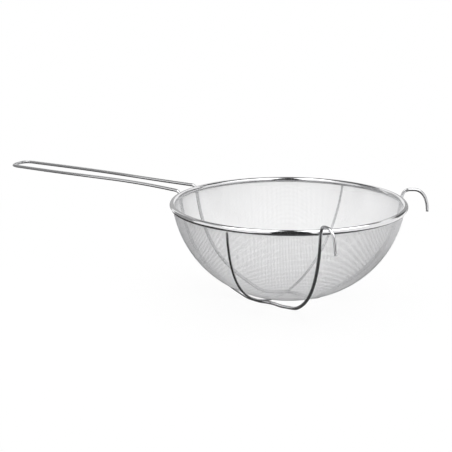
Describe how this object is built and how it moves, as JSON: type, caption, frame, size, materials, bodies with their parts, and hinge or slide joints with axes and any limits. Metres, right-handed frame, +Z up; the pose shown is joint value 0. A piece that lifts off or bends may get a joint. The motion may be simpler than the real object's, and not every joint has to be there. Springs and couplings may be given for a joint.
{
  "type": "mesh strainer",
  "caption": "Round wire-mesh strainer: woven steel bowl in a rolled rim, carried by a bent wire frame with a long loop handle, feet and pot hooks.",
  "frame": {"origin": "middle of the bounding box in plan, on the surface that the heels and feet stand on", "axes": "+X from the handle's end towards the pot hooks, +Y to the left when looking along +X, +Z up through the bowl's mouth"},
  "size_m": [0.4302, 0.2192, 0.1026],
  "materials": {
    "wire_cloth": "bright drawn wire, woven",
    "rolled_rim": "polished strip",
    "frame_wire": "polished wire",
    "rib_wire": "polished wire"
  },
  "bodies": {
    "root": {"mesh_bowl": "wire_cloth", "rim_band": "rolled_rim", "frame_wire": "frame_wire", "cross_rib": "rib_wire"}
  },
  "joints": []
}
